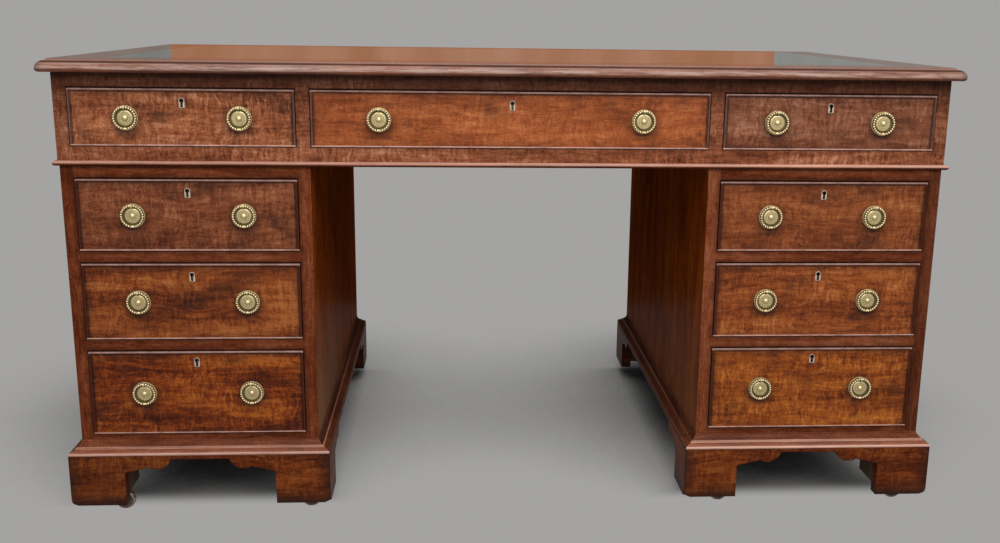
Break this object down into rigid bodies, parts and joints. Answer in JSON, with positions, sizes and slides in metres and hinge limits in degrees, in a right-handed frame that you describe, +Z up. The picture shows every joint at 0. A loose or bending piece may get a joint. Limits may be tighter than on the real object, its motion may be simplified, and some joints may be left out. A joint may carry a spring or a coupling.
{
  "type": "kneehole desk",
  "caption": "Mahogany kneehole desk: leather-lined moulded top over frieze drawers, on two pedestals of graduated drawers with ring pulls, bracket feet and castors.",
  "frame": {"origin": "on the floor under the middle of the top", "axes": "+X to the sitter's right along the top, +Y from the sitter to the back of the desk, +Z up"},
  "size_m": [1.525, 0.885, 0.794],
  "materials": {
    "mahogany": "french polished",
    "drawer_mahogany": "french polished figured veneer",
    "block_wood": "unfinished, aged",
    "leather": "worn hide",
    "brass": "aged, rubbed bright",
    "castor_brass": "dull, worn"
  },
  "bodies": {
    "desk": {"desk_top": "mahogany", "leather_panel": "leather", "frieze_frame": "mahogany", "left_pedestal": "mahogany", "right_pedestal": "mahogany", "applied_mouldings": "mahogany", "bracket_boards": "mahogany", "foot_blocks": "block_wood"},
    "frieze_left_drawer": {"frieze_left_drawer": "drawer_mahogany", "frieze_left_fittings": "brass"},
    "frieze_centre_drawer": {"frieze_centre_drawer": "drawer_mahogany", "frieze_centre_fittings": "brass"},
    "frieze_right_drawer": {"frieze_right_drawer": "drawer_mahogany", "frieze_right_fittings": "brass"},
    "left_top_drawer": {"left_top_drawer": "drawer_mahogany", "left_top_fittings": "brass"},
    "left_middle_drawer": {"left_middle_drawer": "drawer_mahogany", "left_middle_fittings": "brass"},
    "left_bottom_drawer": {"left_bottom_drawer": "drawer_mahogany", "left_bottom_fittings": "brass"},
    "right_top_drawer": {"right_top_drawer": "drawer_mahogany", "right_top_fittings": "brass"},
    "right_middle_drawer": {"right_middle_drawer": "drawer_mahogany", "right_middle_fittings": "brass"},
    "right_bottom_drawer": {"right_bottom_drawer": "drawer_mahogany", "right_bottom_fittings": "brass"},
    "frieze_left_left_ring": {"frieze_left_left_ring": "brass"},
    "frieze_left_right_ring": {"frieze_left_right_ring": "brass"},
    "frieze_centre_left_ring": {"frieze_centre_left_ring": "brass"},
    "frieze_centre_right_ring": {"frieze_centre_right_ring": "brass"},
    "frieze_right_left_ring": {"frieze_right_left_ring": "brass"},
    "frieze_right_right_ring": {"frieze_right_right_ring": "brass"},
    "left_top_left_ring": {"left_top_left_ring": "brass"},
    "left_top_right_ring": {"left_top_right_ring": "brass"},
    "left_middle_left_ring": {"left_middle_left_ring": "brass"},
    "left_middle_right_ring": {"left_middle_right_ring": "brass"},
    "left_bottom_left_ring": {"left_bottom_left_ring": "brass"},
    "left_bottom_right_ring": {"left_bottom_right_ring": "brass"},
    "right_top_left_ring": {"right_top_left_ring": "brass"},
    "right_top_right_ring": {"right_top_right_ring": "brass"},
    "right_middle_left_ring": {"right_middle_left_ring": "brass"},
    "right_middle_right_ring": {"right_middle_right_ring": "brass"},
    "right_bottom_left_ring": {"right_bottom_left_ring": "brass"},
    "right_bottom_right_ring": {"right_bottom_right_ring": "brass"},
    "left_front_outer_castor_horn": {"left_front_outer_castor_horn": "castor_brass"},
    "left_front_inner_castor_horn": {"left_front_inner_castor_horn": "castor_brass"},
    "left_back_outer_castor_horn": {"left_back_outer_castor_horn": "castor_brass"},
    "left_back_inner_castor_horn": {"left_back_inner_castor_horn": "castor_brass"},
    "right_front_inner_castor_horn": {"right_front_inner_castor_horn": "castor_brass"},
    "right_front_outer_castor_horn": {"right_front_outer_castor_horn": "castor_brass"},
    "right_back_inner_castor_horn": {"right_back_inner_castor_horn": "castor_brass"},
    "right_back_outer_castor_horn": {"right_back_outer_castor_horn": "castor_brass"},
    "left_front_outer_castor_wheel": {"left_front_outer_castor_wheel": "castor_brass"},
    "left_front_inner_castor_wheel": {"left_front_inner_castor_wheel": "castor_brass"},
    "left_back_outer_castor_wheel": {"left_back_outer_castor_wheel": "castor_brass"},
    "left_back_inner_castor_wheel": {"left_back_inner_castor_wheel": "castor_brass"},
    "right_front_inner_castor_wheel": {"right_front_inner_castor_wheel": "castor_brass"},
    "right_front_outer_castor_wheel": {"right_front_outer_castor_wheel": "castor_brass"},
    "right_back_inner_castor_wheel": {"right_back_inner_castor_wheel": "castor_brass"},
    "right_back_outer_castor_wheel": {"right_back_outer_castor_wheel": "castor_brass"}
  },
  "joints": [
    {"name": "frieze_left_drawer_slide", "type": "slide", "parent": "desk", "child": "frieze_left_drawer", "axis": [0, -1, 0], "range_m": [0, 0.5]},
    {"name": "frieze_centre_drawer_slide", "type": "slide", "parent": "desk", "child": "frieze_centre_drawer", "axis": [0, -1, 0], "range_m": [0, 0.5]},
    {"name": "frieze_right_drawer_slide", "type": "slide", "parent": "desk", "child": "frieze_right_drawer", "axis": [0, -1, 0], "range_m": [0, 0.5]},
    {"name": "left_top_drawer_slide", "type": "slide", "parent": "desk", "child": "left_top_drawer", "axis": [0, -1, 0], "range_m": [0, 0.5]},
    {"name": "left_middle_drawer_slide", "type": "slide", "parent": "desk", "child": "left_middle_drawer", "axis": [0, -1, 0], "range_m": [0, 0.5]},
    {"name": "left_bottom_drawer_slide", "type": "slide", "parent": "desk", "child": "left_bottom_drawer", "axis": [0, -1, 0], "range_m": [0, 0.5]},
    {"name": "right_top_drawer_slide", "type": "slide", "parent": "desk", "child": "right_top_drawer", "axis": [0, -1, 0], "range_m": [0, 0.5]},
    {"name": "right_middle_drawer_slide", "type": "slide", "parent": "desk", "child": "right_middle_drawer", "axis": [0, -1, 0], "range_m": [0, 0.5]},
    {"name": "right_bottom_drawer_slide", "type": "slide", "parent": "desk", "child": "right_bottom_drawer", "axis": [0, -1, 0], "range_m": [0, 0.5]},
    {"name": "frieze_left_left_ring_hinge", "type": "hinge", "parent": "frieze_left_drawer", "child": "frieze_left_left_ring", "pos_m": [-0.63062, -0.4306, 0.71714], "axis": [-1, 0, 0], "range_deg": [0, 100]},
    {"name": "frieze_left_right_ring_hinge", "type": "hinge", "parent": "frieze_left_drawer", "child": "frieze_left_right_ring", "pos_m": [-0.44788, -0.4306, 0.71714], "axis": [-1, 0, 0], "range_deg": [0, 100]},
    {"name": "frieze_centre_left_ring_hinge", "type": "hinge", "parent": "frieze_centre_drawer", "child": "frieze_centre_left_ring", "pos_m": [-0.22078, -0.4306, 0.71714], "axis": [-1, 0, 0], "range_deg": [0, 100]},
    {"name": "frieze_centre_right_ring_hinge", "type": "hinge", "parent": "frieze_centre_drawer", "child": "frieze_centre_right_ring", "pos_m": [0.22078, -0.4306, 0.71714], "axis": [-1, 0, 0], "range_deg": [0, 100]},
    {"name": "frieze_right_left_ring_hinge", "type": "hinge", "parent": "frieze_right_drawer", "child": "frieze_right_left_ring", "pos_m": [0.44788, -0.4306, 0.71714], "axis": [-1, 0, 0], "range_deg": [0, 100]},
    {"name": "frieze_right_right_ring_hinge", "type": "hinge", "parent": "frieze_right_drawer", "child": "frieze_right_right_ring", "pos_m": [0.63062, -0.4306, 0.71714], "axis": [-1, 0, 0], "range_deg": [0, 100]},
    {"name": "left_top_left_ring_hinge", "type": "hinge", "parent": "left_top_drawer", "child": "left_top_left_ring", "pos_m": [-0.62987, -0.4286, 0.55548], "axis": [-1, 0, 0], "range_deg": [0, 100]},
    {"name": "left_top_right_ring_hinge", "type": "hinge", "parent": "left_top_drawer", "child": "left_top_right_ring", "pos_m": [-0.44762, -0.4286, 0.55548], "axis": [-1, 0, 0], "range_deg": [0, 100]},
    {"name": "left_middle_left_ring_hinge", "type": "hinge", "parent": "left_middle_drawer", "child": "left_middle_left_ring", "pos_m": [-0.62987, -0.4286, 0.40729], "axis": [-1, 0, 0], "range_deg": [0, 100]},
    {"name": "left_middle_right_ring_hinge", "type": "hinge", "parent": "left_middle_drawer", "child": "left_middle_right_ring", "pos_m": [-0.44762, -0.4286, 0.40729], "axis": [-1, 0, 0], "range_deg": [0, 100]},
    {"name": "left_bottom_left_ring_hinge", "type": "hinge", "parent": "left_bottom_drawer", "child": "left_bottom_left_ring", "pos_m": [-0.62987, -0.4286, 0.24544], "axis": [-1, 0, 0], "range_deg": [0, 100]},
    {"name": "left_bottom_right_ring_hinge", "type": "hinge", "parent": "left_bottom_drawer", "child": "left_bottom_right_ring", "pos_m": [-0.44762, -0.4286, 0.24544], "axis": [-1, 0, 0], "range_deg": [0, 100]},
    {"name": "right_top_left_ring_hinge", "type": "hinge", "parent": "right_top_drawer", "child": "right_top_left_ring", "pos_m": [0.44762, -0.4286, 0.55548], "axis": [-1, 0, 0], "range_deg": [0, 100]},
    {"name": "right_top_right_ring_hinge", "type": "hinge", "parent": "right_top_drawer", "child": "right_top_right_ring", "pos_m": [0.62987, -0.4286, 0.55548], "axis": [-1, 0, 0], "range_deg": [0, 100]},
    {"name": "right_middle_left_ring_hinge", "type": "hinge", "parent": "right_middle_drawer", "child": "right_middle_left_ring", "pos_m": [0.44762, -0.4286, 0.40729], "axis": [-1, 0, 0], "range_deg": [0, 100]},
    {"name": "right_middle_right_ring_hinge", "type": "hinge", "parent": "right_middle_drawer", "child": "right_middle_right_ring", "pos_m": [0.62987, -0.4286, 0.40729], "axis": [-1, 0, 0], "range_deg": [0, 100]},
    {"name": "right_bottom_left_ring_hinge", "type": "hinge", "parent": "right_bottom_drawer", "child": "right_bottom_left_ring", "pos_m": [0.44762, -0.4286, 0.24544], "axis": [-1, 0, 0], "range_deg": [0, 100]},
    {"name": "right_bottom_right_ring_hinge", "type": "hinge", "parent": "right_bottom_drawer", "child": "right_bottom_right_ring", "pos_m": [0.62987, -0.4286, 0.24544], "axis": [-1, 0, 0], "range_deg": [0, 100]},
    {"name": "left_front_outer_castor_swivel", "type": "hinge", "parent": "desk", "child": "left_front_outer_castor_horn", "pos_m": [-0.704, -0.384, 0.0435], "axis": [0, 0, 1], "continuous": true},
    {"name": "left_front_inner_castor_swivel", "type": "hinge", "parent": "desk", "child": "left_front_inner_castor_horn", "pos_m": [-0.3735, -0.384, 0.0435], "axis": [0, 0, 1], "continuous": true},
    {"name": "left_back_outer_castor_swivel", "type": "hinge", "parent": "desk", "child": "left_back_outer_castor_horn", "pos_m": [-0.704, 0.384, 0.0435], "axis": [0, 0, 1], "continuous": true},
    {"name": "left_back_inner_castor_swivel", "type": "hinge", "parent": "desk", "child": "left_back_inner_castor_horn", "pos_m": [-0.3735, 0.384, 0.0435], "axis": [0, 0, 1], "continuous": true},
    {"name": "right_front_inner_castor_swivel", "type": "hinge", "parent": "desk", "child": "right_front_inner_castor_horn", "pos_m": [0.3735, -0.384, 0.0435], "axis": [0, 0, 1], "continuous": true},
    {"name": "right_front_outer_castor_swivel", "type": "hinge", "parent": "desk", "child": "right_front_outer_castor_horn", "pos_m": [0.704, -0.384, 0.0435], "axis": [0, 0, 1], "continuous": true},
    {"name": "right_back_inner_castor_swivel", "type": "hinge", "parent": "desk", "child": "right_back_inner_castor_horn", "pos_m": [0.3735, 0.384, 0.0435], "axis": [0, 0, 1], "continuous": true},
    {"name": "right_back_outer_castor_swivel", "type": "hinge", "parent": "desk", "child": "right_back_outer_castor_horn", "pos_m": [0.704, 0.384, 0.0435], "axis": [0, 0, 1], "continuous": true},
    {"name": "left_front_outer_castor_roll", "type": "hinge", "parent": "left_front_outer_castor_horn", "child": "left_front_outer_castor_wheel", "pos_m": [-0.6865, -0.384, 0.0175], "axis": [0, 1, 0], "continuous": true},
    {"name": "left_front_inner_castor_roll", "type": "hinge", "parent": "left_front_inner_castor_horn", "child": "left_front_inner_castor_wheel", "pos_m": [-0.356, -0.384, 0.0175], "axis": [0, 1, 0], "continuous": true},
    {"name": "left_back_outer_castor_roll", "type": "hinge", "parent": "left_back_outer_castor_horn", "child": "left_back_outer_castor_wheel", "pos_m": [-0.6865, 0.384, 0.0175], "axis": [0, 1, 0], "continuous": true},
    {"name": "left_back_inner_castor_roll", "type": "hinge", "parent": "left_back_inner_castor_horn", "child": "left_back_inner_castor_wheel", "pos_m": [-0.356, 0.384, 0.0175], "axis": [0, 1, 0], "continuous": true},
    {"name": "right_front_inner_castor_roll", "type": "hinge", "parent": "right_front_inner_castor_horn", "child": "right_front_inner_castor_wheel", "pos_m": [0.391, -0.384, 0.0175], "axis": [0, 1, 0], "continuous": true},
    {"name": "right_front_outer_castor_roll", "type": "hinge", "parent": "right_front_outer_castor_horn", "child": "right_front_outer_castor_wheel", "pos_m": [0.7215, -0.384, 0.0175], "axis": [0, 1, 0], "continuous": true},
    {"name": "right_back_inner_castor_roll", "type": "hinge", "parent": "right_back_inner_castor_horn", "child": "right_back_inner_castor_wheel", "pos_m": [0.391, 0.384, 0.0175], "axis": [0, 1, 0], "continuous": true},
    {"name": "right_back_outer_castor_roll", "type": "hinge", "parent": "right_back_outer_castor_horn", "child": "right_back_outer_castor_wheel", "pos_m": [0.7215, 0.384, 0.0175], "axis": [0, 1, 0], "continuous": true}
  ]
}
